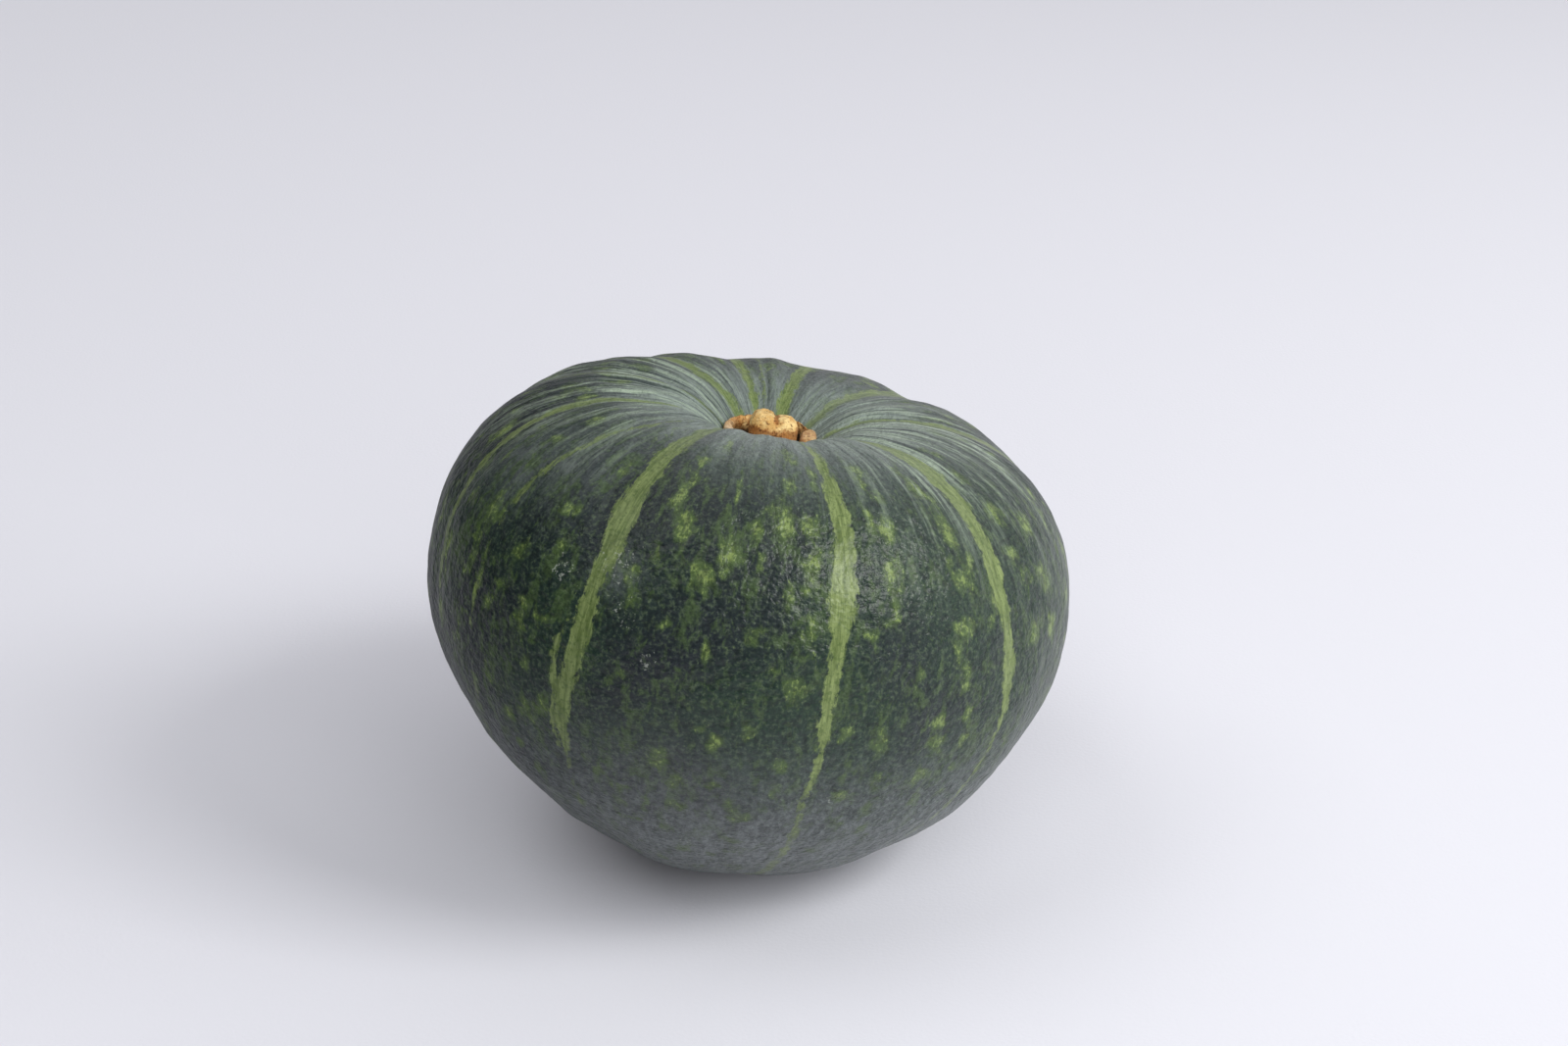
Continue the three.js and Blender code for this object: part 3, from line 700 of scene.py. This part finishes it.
def fused(piece):
    """The piece's mesh made again as one skin, without its inner walls."""
    remesh = piece.modifiers.new("fuse", "REMESH")
    remesh.mode = "VOXEL"
    remesh.voxel_size = STEM_VOXEL * MM
    rounding = piece.modifiers.new("round", "SMOOTH")
    rounding.factor, rounding.iterations = ROUNDING, ROUNDING_STEPS
    evaluated = piece.evaluated_get(bpy.context.evaluated_depsgraph_get())
    mesh = bpy.data.meshes.new_from_object(evaluated)
    piece.modifiers.clear()
    return mesh


def cork_relief(points, azimuth, height, knob, notch):
    """Grain, most of it on the knob, fibres up the collar and a notch in the knob."""
    grains = layers_of_noise(points, CORK_GRAINS)
    around = turned(azimuth, FIBRE_RADIUS, height * FIBRE_STRETCH)
    fibres = FIBRE_HEIGHT * noise_of(around, FIBRE_SIZE, FIBRE_SEED)
    share = COLLAR_GRAIN_SHARE + (1 - COLLAR_GRAIN_SHARE) * knob
    above = smooth(height, MOAT_FLOOR - 1, MOAT_FLOOR + 1)
    return (grains * share + fibres * (1 - knob) - NOTCH_DEPTH * notch) * above


def mark_stem(mesh, azimuth, from_axis, height, knob, notch, upward):
    """Puts what the cork's material reads on the points of the mesh."""

    def on_collar(place):
        middle, half_width = place
        return bell(angle_between(azimuth, middle), half_width) * (1 - knob)

    left_cut = on_collar(LEFT_CUT) * smooth(upward, *LEFT_CUT_SLOPES)
    right_cut = on_collar(RIGHT_CUT) * smooth(height, *RIGHT_CUT_HEIGHTS)
    moat = 1 - smooth(height, *MOAT_SHADE_HEIGHTS)
    gap = on_collar(COLLAR_GAP) * (from_axis < COLLAR_GAP_REACH)
    underside = (1 - smooth(height, *KNOB_UNDERSIDE_HEIGHTS)) * knob
    add_field(mesh, "cut", np.clip(left_cut + RIGHT_CUT_SHARE * right_cut, 0, 1))
    # painted shade in the moat, in the collar's gap and in the notch
    add_field(mesh, "dark", np.clip(moat + GAP_SHADE * gap + NOTCH_SHADE * notch, 0, 1))
    # browner under the knob, in the notch and over the collar
    add_field(mesh, "browner", np.clip(underside + notch + COLLAR_BROWNER * (1 - knob), 0, 1))
    add_field(mesh, "grain", turned(azimuth, FIBRE_RADIUS, height))


def make_stem():
    lobes = [cork_lobe(centre, size) for centre, size in KNOB_LOBES]
    stem = new_object("stem_cork", *joined([cork_plug(), cork_collar(), *lobes]))
    mesh = fused(stem)
    stem.data = mesh
    points = read_vectors(mesh.vertices, "co") / MM
    normals = read_vectors(mesh.vertex_normals, "vector")

    x, y, height = points.T
    from_axis = np.hypot(x, y)
    azimuth = np.degrees(np.arctan2(x, -y)) % 360
    knob = 1 - smooth(from_axis, *KNOB_EDGE)
    notch = bell(x - NOTCH_PLACE, NOTCH_WIDTH) * smooth(height, *NOTCH_HEIGHTS) * knob
    relief = cork_relief(points, azimuth, height, knob, notch)
    raised = stand_up(points + normals * relief[:, None]) * MM
    mesh.vertices.foreach_set("co", raised.ravel())
    mesh.update()
    mesh.shade_smooth()
    mark_stem(mesh, azimuth, from_axis, height, knob, notch, normals[:, 2])
    return stem


# ---------- shader building ----------


class Shader:
    """A material's or a world's nodes, with short calls for the kinds used here."""

    def __init__(self, name, home=bpy.data.materials, end="Principled BSDF"):
        self.owner = home.new(name)
        self.owner.use_nodes = True
        self.tree = self.owner.node_tree
        self.end = self.tree.nodes[end].inputs

    def node(self, kind, inputs=None, **settings):
        made = self.tree.nodes.new("ShaderNode" + kind)
        for key, value in settings.items():
            setattr(made, key, value)
        for key, value in (inputs or {}).items():
            self.feed(made.inputs[key], value)
        return made

    def feed(self, socket, value):
        if isinstance(value, bpy.types.NodeSocket):
            self.tree.links.new(value, socket)
        else:
            socket.default_value = value

    def attribute(self, name, output="Fac"):
        return self.node("Attribute", attribute_name=name).outputs[output]

    def place(self, output="Object"):
        return self.node("TexCoord").outputs[output]

    def math(self, operation, *values, kind="Math", output=0):
        made = self.node(kind, dict(enumerate(values)), operation=operation)
        return made.outputs[output]

    def plus(self, first, *others):
        for other in others:
            first = self.math("ADD", first, other)
        return first

    def minus(self, first, second):
        return self.math("SUBTRACT", first, second)

    def times(self, first, *others):
        for other in others:
            first = self.math("MULTIPLY", first, other)
        return first

    def ramp(self, value, low, high):
        """0 at low, 1 at high and a smooth change between; low may be the larger."""
        if high < low:
            return self.minus(1.0, self.ramp(value, high, low))
        inputs = {"Value": value, "From Min": low, "From Max": high}
        made = self.node("MapRange", inputs, interpolation_type="SMOOTHSTEP")
        return made.outputs["Result"]

    def spread(self, value, least, most):
        """A 0 to 1 value brought to run from least to most."""
        inputs = {"Value": value, "To Min": least, "To Max": most}
        return self.node("MapRange", inputs).outputs["Result"]

    def fade(self, value, low, high, least, most):
        """The least at low, the most at high and a smooth change between."""
        return self.spread(self.ramp(value, low, high), least, most)

    def mix(self, share, first, second):
        inputs = {"Factor": share, "A": first, "B": second}
        return self.node("Mix", inputs, data_type="RGBA").outputs["Result"]

    def along(self, vector, way):
        return self.math("DOT_PRODUCT", vector, way, kind="VectorMath", output="Value")

    def stretched(self, vector, scale):
        return self.math("MULTIPLY", vector, scale, kind="VectorMath")

    def shaken(self, vector, scale, amount):
        """The vector moved about, so that what is read there is less regular."""
        waves = self.node("TexNoise", {"Vector": vector, "Scale": scale}).outputs["Color"]
        return self.math("MULTIPLY_ADD", waves, (amount,) * 3, vector, kind="VectorMath")

    def noise(self, vector, scale, detail=2.0, roughness=0.5, distortion=0.0):
        names = ("Vector", "Scale", "Detail", "Roughness", "Distortion")
        values = (vector, scale, detail, roughness, distortion)
        return self.node("TexNoise", dict(zip(names, values))).outputs["Fac"]

    def bump(self, height, distance, strength=1.0, below=None):
        """Relief of this depth in metres, on top of the relief below it."""
        inputs = {"Height": height, "Distance": distance, "Strength": strength}
        if below is not None:
            inputs["Normal"] = below
        return self.node("Bump", inputs).outputs["Normal"]


def rgb(red, green, blue):
    """An sRGB colour of 0 to 255 as Blender's linear colour."""
    parts = [c / 255 for c in (red, green, blue)]
    linear = [c / 12.92 if c <= 0.04045 else ((c + 0.055) / 1.055) ** 2.4 for c in parts]
    return (*linear, 1.0)


# ---------- skin material ----------

BLUE_BLACK, DEEP_GREEN, OLIVE = rgb(28, 34, 38), rgb(29, 46, 36), rgb(59, 76, 44)
PALE_SPECK, DARK_SPECK = rgb(78, 92, 68), rgb(15, 20, 23)
FLECK_CLOUD, FLECK_THREAD = rgb(68, 86, 45), rgb(120, 137, 76)
# Bloom colours, partly painted light: the floor's reflection low down and the room's sheen near
# the stem
LOW_BLOOM_AND_FLOOR_REFLECTION, STEM_BLOOM_AND_SHEEN = rgb(108, 114, 114), rgb(140, 151, 145)
# Painted light: highlights on the pale fold lines, shade in the furrows and in the creases between
# the grains
FOLD_LINE_AND_HIGHLIGHT, FURROW_SHADE, CREASE_SHADE = rgb(142, 156, 138), rgb(36, 46, 45), rgb(16, 20, 21)
STRIPE_DARK, STRIPE_PALE, STRIPE_DASH = rgb(78, 93, 48), rgb(122, 136, 84), rgb(62, 82, 38)
CHIP = rgb(150, 155, 146)
SCAR_DARK, SCAR_PALE = rgb(120, 92, 58), rgb(176, 146, 100)

# Depths of the bumps, in metres.
LUMP_BUMP, PEBBLE_BUMP, LEATHER_BUMP, WAVE_BUMP = 0.0012, 0.00007, 0.0017, 0.0004


class Skin(Shader):
    """What several layers of the rind read."""

    def __init__(self):
        super().__init__("squash_rind")
        self.where = self.place()
        self.grain = self.attribute("grain", "Vector")
        self.long_grain = self.stretched(self.grain, (1, 1, 0.5))
        self.fibre_grain = self.stretched(self.grain, (1, 1, 0.12))
        self.polar = self.attribute("polar")
        self.near_stem = self.ramp(self.polar, 0.92, 0.28)
        self.low_down = self.ramp(self.polar, 1.35, 2.1)
        self.green_side = self.ramp(self.attribute("greener"), -0.18, 0.18)
        # rounded grains of 1.5 mm
        leather_place = self.shaken(self.stretched(self.grain, (0.6, 0.6, 0.85)), 1.1, 0.7)
        self.leather = self.noise(leather_place, 0.72, 2.2, 0.5)
        self.dapple = self.noise(self.long_grain, 0.32, 4, 0.68, 0.4)
        self.speckle = self.noise(self.where, 900, 2, 0.65)
        self.threads = self.noise(self.stretched(self.grain, (1.5, 1.5, 0.6)), 1.0, 3, 0.7, 0.7)
        self.cloud = self.plus(self.attribute("fleck"), self.spread(self.dapple, -0.5, 0.5))
        self.cloud_mask = self.ramp(self.cloud, 0.1, 0.6)


def ground(s):
    """Blue-black and deep green by turns, clouded with olive and speckled."""
    region = s.plus(s.noise(s.where, 22, 2, 0.5), s.attribute("greener"))
    region = s.minus(region, s.spread(s.low_down, 0, 0.3))
    colour = s.mix(s.ramp(region, 0.34, 0.66), BLUE_BLACK, DEEP_GREEN)
    drift = s.noise(s.long_grain, 0.11, 2, 0.55)
    clouded = s.plus(s.dapple, s.spread(drift, -0.25, 0.25))
    colour = s.mix(s.fade(clouded, 0.49, 0.66, 0, 0.78), colour, OLIVE)
    colour = s.mix(s.fade(s.speckle, 0.48, 0.72, 0, 0.5), colour, PALE_SPECK)
    return s.mix(s.fade(s.speckle, 0.5, 0.3, 0, 0.5), colour, DARK_SPECK)


def flecked(s, colour):
    """A soft green cloud in each fleck, with bright threads and dots inside it."""
    core = s.plus(s.cloud, s.spread(s.threads, -1.0, 1.0), s.spread(s.speckle, -0.8, 0.8))
    core = s.minus(core, s.spread(s.low_down, 0, 0.5))
    colour = s.mix(s.spread(s.cloud_mask, 0, 0.75), colour, FLECK_CLOUD)
    return s.mix(s.fade(core, 0.5, 1.05, 0, 0.68), colour, FLECK_THREAD)


def bloom_with_painted_sheen(s, colour):
    """A slate bloom near the stem, low down and in the dusty patches, mixed with painted light:
    painted sheen near the stem and in those patches, the floor's painted reflection low down,
    lighter on the green side where the key light falls, and painted highlights on the grains'
    ridges.
    """
    off_back = s.ramp(s.attribute("front"), 0.0, 0.55)
    # painted sheen of the room mixed with the bloom near the stem, strongest in front
    near = s.times(s.near_stem, s.spread(off_back, 0.64, 0.86))
    mottle = s.noise(s.long_grain, 0.42, 3, 0.65)
    # painted reflection of the floor mixed with the bloom low down, stronger on the green side
    # that the key light falls on
    low = s.times(
        s.low_down,
        s.spread(s.green_side, 0.15, 1.05),
        s.fade(mottle, 0.38, 0.6, 0.55, 1.12),
        s.fade(s.speckle, 0.36, 0.62, 0.85, 1.1),
    )
    bloom_and_painted_sheen = s.times(s.plus(near, low), s.fade(s.dapple, 0.7, 0.3, 0.5, 1.0))
    # painted highlight on the ridges of the grains low down
    painted_ridge_highlight = s.times(s.fade(s.leather, 0.5, 0.68, 0, 0.2), s.low_down)
    # dust with painted sheen in the dusty patches
    dust_and_sheen_share = s.times(s.attribute("dust_and_sheen"), s.fade(s.dapple, 0.62, 0.38, 0.1, 0.4))
    bloom_and_painted_sheen = s.times(s.plus(bloom_and_painted_sheen, painted_ridge_highlight, dust_and_sheen_share), s.spread(s.cloud_mask, 1.0, 0.45))
    return s.mix(bloom_and_painted_sheen, colour, s.mix(s.near_stem, LOW_BLOOM_AND_FLOOR_REFLECTION, STEM_BLOOM_AND_SHEEN))


def folds_with_painted_light(s, colour):
    """Pale lines, partly painted highlight on the fold ridges, and dark furrows of painted shade,
    running from the stem over the shoulder.
    """
    folds = s.noise(s.fibre_grain, 0.26, 5, 0.72)
    sideways = s.attribute("sideways")
    reach = s.ramp(s.minus(s.polar, s.spread(sideways, 0, 0.17)), 1.25, 0.4)
    # painted highlight on the pale fold lines, most at the sides
    fold_highlight = s.times(
        s.ramp(folds, 0.485, 0.62),
        s.spread(s.times(reach, sideways), 0.1, 0.85),
        s.spread(reach, 0, 1.2),
        s.fade(s.noise(s.where, 45, 1), 0.38, 0.6, 0.6, 1.15),
    )
    # painted shade in the furrows
    furrow_shade_reach = s.times(reach, s.spread(sideways, 0.3, 0.8))
    painted_furrow_shade = s.times(s.ramp(folds, 0.485, 0.39), furrow_shade_reach)
    return s.mix(painted_furrow_shade, s.mix(fold_highlight, colour, FOLD_LINE_AND_HIGHLIGHT), FURROW_SHADE)


def painted_crease_shade(s, colour):
    """Painted shade in the creases between the grains, faint where there is bloom."""
    crease_shade_share = s.times(
        s.ramp(s.leather, 0.5, 0.32),
        s.spread(s.plus(s.near_stem, s.attribute("dust_and_sheen")), 0.38, 0.06),
        s.spread(s.low_down, 1.0, 0.3),
    )
    return s.mix(crease_shade_share, colour, CREASE_SHADE)


def stripe_mask(s):
    """The pale stripes, with ragged edges."""
    teeth = s.noise(s.long_grain, 0.6, 4, 0.7, 0.5)
    fray = s.plus(s.attribute("stripe_edge"), s.spread(teeth, -2.2, 2.2))
    fray = s.plus(fray, s.spread(s.threads, -0.8, 0.8))
    return s.times(s.ramp(fray, -0.35, 0.45), s.spread(s.attribute("stripe_tone"), 0, 0.95))


def stripe_colour(s):
    """Fibres and darker dashes along the stripes."""
    fibres = s.noise(s.fibre_grain, 1.0, 3, 0.7)
    colour = s.mix(s.ramp(fibres, 0.3, 0.7), STRIPE_DARK, STRIPE_PALE)
    return s.mix(s.fade(s.speckle, 0.5, 0.34, 0, 0.55), colour, STRIPE_DASH)


def chipped(s, colour):
    """Rare pale chips, most in the scuffed patches."""
    chips = s.plus(s.noise(s.where, 750, 3, 0.7), s.spread(s.attribute("scuff"), 0, 0.19))
    return s.mix(s.fade(chips, 0.73, 0.8, 0, 0.55), colour, CHIP)


def skin_relief(s, stripes):
    """Lumps of 4 mm, pebbles of 3 mm with creases round them, leather and waves."""
    lumpy = s.noise(s.where, 240, 2, 0.5)
    cells = {"Vector": s.shaken(s.stretched(s.grain, (0.4, 0.4, 0.3)), 1.2, 0.8), "Scale": 1.0}
    edges = s.node("TexVoronoi", cells, feature="DISTANCE_TO_EDGE").outputs["Distance"]
    pebble = s.ramp(edges, 0.0, 0.24)
    waves = s.noise(s.stretched(s.grain, (0.25, 0.25, 1.1)), 1.0, 2, 0.5)
    off_stripe = s.spread(stripes, 1.0, 0.4)
    normal = s.bump(lumpy, LUMP_BUMP, s.times(off_stripe, s.spread(s.low_down, 0.65, 1.0)))
    normal = s.bump(pebble, PEBBLE_BUMP, off_stripe, normal)
    leathery = s.times(off_stripe, s.spread(s.low_down, 0.3, 1.0))
    normal = s.bump(s.leather, LEATHER_BUMP, leathery, normal)
    return s.bump(waves, WAVE_BUMP, s.near_stem, normal)


def skin_material():
    s = Skin()
    colour = ground(s)
    for layer in (flecked, bloom_with_painted_sheen, folds_with_painted_light, painted_crease_shade):
        colour = layer(s, colour)
    stripes = stripe_mask(s)
    colour = chipped(s, s.mix(stripes, colour, stripe_colour(s)))

    # the corky brown blossom scar
    scar_edge = s.plus(s.polar, s.spread(s.noise(s.where, 300, 3), -0.035, 0.035))
    scar = s.ramp(scar_edge, 2.985, 3.03)
    cork = s.mix(s.noise(s.where, 420, 4, 0.7), SCAR_DARK, SCAR_PALE)
    s.feed(s.end["Base Color"], s.mix(scar, colour, cork))

    # waxy on the green side, duller on the other and on the scar
    rough = s.spread(s.noise(s.where, 160, 2, 0.6), 0.32, 0.45)
    s.feed(s.end["Roughness"], s.plus(rough, s.times(scar, 0.3)))
    waxy = s.plus(s.ramp(s.attribute("greener"), -0.05, 0.05), s.green_side)
    s.feed(s.end["Specular IOR Level"], s.math("MULTIPLY_ADD", waxy, 0.17, 0.05))
    s.feed(s.end["Normal"], skin_relief(s, stripes))
    return s.owner


# ---------- cork material ----------

CORK_DARK, CORK_PALE = rgb(202, 160, 96), rgb(228, 199, 138)
CORK_MOTTLE, CORK_BROWN, CORK_PIT = rgb(150, 100, 52), rgb(146, 90, 42), rgb(78, 46, 26)
CUT_DARK, CUT_PALE = rgb(178, 146, 110), rgb(216, 196, 164)
MOAT_SHADE = rgb(42, 28, 20)
MOTTLE_BUMP, PIT_BUMP, FIBRE_BUMP = 0.0005, 0.0002, 0.0003


def cork_material():
    """Mottled, pitted cork, browner low on the knob, with pale cuts and painted shade in the
    hollows.
    """
    s = Shader("stem_cork")
    where = s.place()
    browner = s.attribute("browner")

    broad = s.noise(where, 380, 3, 0.6)
    colour = s.mix(s.ramp(broad, 0.35, 0.65), CORK_DARK, CORK_PALE)
    mottle = s.noise(where, 700, 4, 0.7)
    colour = s.mix(s.fade(mottle, 0.52, 0.66, 0, 0.55), colour, CORK_MOTTLE)
    brown_share = s.plus(browner, s.spread(mottle, -0.8, 0.8))
    colour = s.mix(s.fade(brown_share, 0.25, 0.8, 0, 0.85), colour, CORK_BROWN)
    dots = s.noise(where, 1400, 3, 0.6)
    pits = s.plus(dots, s.spread(browner, 0, 0.07))
    colour = s.mix(s.fade(pits, 0.61, 0.68, 0, 0.75), colour, CORK_PIT)

    fibres = s.noise(s.stretched(s.attribute("grain", "Vector"), (1, 1, 0.3)), 1.6, 3, 0.6)
    cut = s.mix(s.ramp(fibres, 0.35, 0.7), CUT_DARK, CUT_PALE)
    colour = s.mix(s.spread(s.attribute("cut"), 0, 0.95), colour, cut)

    shade = s.plus(s.attribute("dark"), s.spread(broad, -0.2, 0.2))
    colour = s.mix(s.fade(shade, 0.3, 0.95, 0, 0.96), colour, MOAT_SHADE)
    s.feed(s.end["Base Color"], colour)
    s.feed(s.end["Roughness"], 0.8)
    s.feed(s.end["Specular IOR Level"], 0.25)

    normal = s.bump(mottle, MOTTLE_BUMP)
    normal = s.bump(dots, PIT_BUMP, 1.0, normal)
    normal = s.bump(fibres, FIBRE_BUMP, 0.8, normal)
    s.feed(s.end["Normal"], normal)
    return s.owner


# ---------- camera ----------

IMAGE_WIDTH, IMAGE_HEIGHT = 1600, 1067
SENSOR_WIDTH = 36.0
FOCAL_PIXELS = 3250
CAMERA_ELEVATION = math.radians(24)
CAMERA_DISTANCE = 0.85
FRUIT_CENTRE_IN_IMAGE = (751.7, 649.5)


def add_camera():
    """Looks along +Y and down; the fruit's centre falls on its place in the image."""
    forward = Vector((0, math.cos(CAMERA_ELEVATION), -math.sin(CAMERA_ELEVATION)))
    up = Vector((0, math.sin(CAMERA_ELEVATION), math.cos(CAMERA_ELEVATION)))
    right = Vector((1, 0, 0))
    to_right = (FRUIT_CENTRE_IN_IMAGE[0] - IMAGE_WIDTH / 2) / FOCAL_PIXELS
    to_top = (IMAGE_HEIGHT / 2 - FRUIT_CENTRE_IN_IMAGE[1]) / FOCAL_PIXELS
    line = forward + right * to_right + up * to_top
    data = bpy.data.cameras.new("camera")
    data.sensor_width = SENSOR_WIDTH
    data.lens = FOCAL_PIXELS * SENSOR_WIDTH / IMAGE_WIDTH
    camera = bpy.data.objects.new("camera", data)
    camera.location = FRUIT_CENTRE * MM - line * CAMERA_DISTANCE
    camera.rotation_euler = Euler((math.radians(90) - CAMERA_ELEVATION, 0, 0))
    bpy.context.scene.collection.objects.link(camera)
    bpy.context.scene.camera = camera


# ---------- floor and light ----------

FLOOR_RADIUS, FLOOR_SIDES = 12, 96
CLOTH_NEAR, CLOTH_FAR = rgb(213, 213, 219), rgb(228, 228, 234)
# Painted light: the cloth's colour grows paler this way, between these distances in metres.
PALER_TOWARDS, PALER_FROM, PALER_TO = (0.3, 0.95, 0), -0.4, 0.9
WEAVE_BUMP = 0.0002

NEARLY_WHITE, COOL_WHITE = (1.0, 1.0, 0.99), (0.98, 0.985, 1.0)
# Azimuth and elevation in degrees, distance, width and height in metres, watts, colour.
LIGHTS = {
    "key": (61, 41, 1.7, 0.7, 0.55, 14.8, NEARLY_WHITE),
    "low_right": (78, 13, 3.4, 1.8, 1.4, 50, COOL_WHITE),
    "high_left": (-75, 60, 3.4, 2.4, 2.0, 30, COOL_WHITE),
    "front_fill": (8, 35, 3.4, 3.0, 2.2, 72, COOL_WHITE),
}
WITHOUT_GLOSS = ("low_right", "front_fill")

ROOM_COLOUR = (0.965, 0.96, 1.0, 1)
ROOM_BRIGHT_SIDE, ROOM_DARKEST, ROOM_BRIGHTEST = (0.6, 0.7, 0.38), 0.03, 0.85


def add_floor():
    azimuth = evenly_round(FLOOR_SIDES)
    rim = turned(azimuth, FLOOR_RADIUS / MM, 0 * azimuth)
    floor = new_object("floor", rim, [tuple(range(FLOOR_SIDES))])
    s = Shader("pale_cloth")
    where = s.place()
    # painted light: the cloth paler further back and to the right, darker near the camera
    far = s.ramp(s.along(where, PALER_TOWARDS), PALER_FROM, PALER_TO)
    s.feed(s.end["Base Color"], s.mix(far, CLOTH_NEAR, CLOTH_FAR))
    s.feed(s.end["Roughness"], 0.9)
    s.feed(s.end["Specular IOR Level"], 0.2)
    s.feed(s.end["Normal"], s.bump(s.noise(where, 900, 2, 0.5), WEAVE_BUMP, 0.3))
    floor.data.materials.append(s.owner)


def add_area_light(name, azimuth, elevation, distance, width, height, watts, colour):
    """A soft box aimed at the fruit; its azimuth is 0 at the camera's side."""
    back = Vector(direction(math.radians(90 - elevation), azimuth))
    data = bpy.data.lights.new(name, "AREA")
    data.shape = "RECTANGLE"
    data.size, data.size_y = width, height
    data.energy = watts
    data.color = colour
    light = bpy.data.objects.new(name, data)
    light.location = FRUIT_CENTRE * MM + back * distance
    light.rotation_euler = back.to_track_quat("Z", "Y").to_euler()
    light.visible_glossy = name not in WITHOUT_GLOSS
    bpy.context.scene.collection.objects.link(light)


def add_world():
    """A pale room behind the fruit, dark on the camera's side."""
    s = Shader("room", bpy.data.worlds, "Background")
    across = s.along(s.place("Generated"), ROOM_BRIGHT_SIDE)
    s.feed(s.end["Color"], ROOM_COLOUR)
    s.feed(s.end["Strength"], s.spread(across, ROOM_DARKEST, ROOM_BRIGHTEST))
    bpy.context.scene.world = s.owner


def add_lights():
    for name, settings in LIGHTS.items():
        add_area_light(name, *settings)
    add_world()


# ---------- put together ----------

bpy.context.scene.view_settings.view_transform = "Standard"
add_camera()
add_floor()
add_lights()

fruit = make_fruit()
fruit.data.materials.append(skin_material())
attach(fruit, "root")
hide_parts("squash_body")

stem = make_stem()
stem.data.materials.append(cork_material())
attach(stem, "root")
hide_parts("stem")
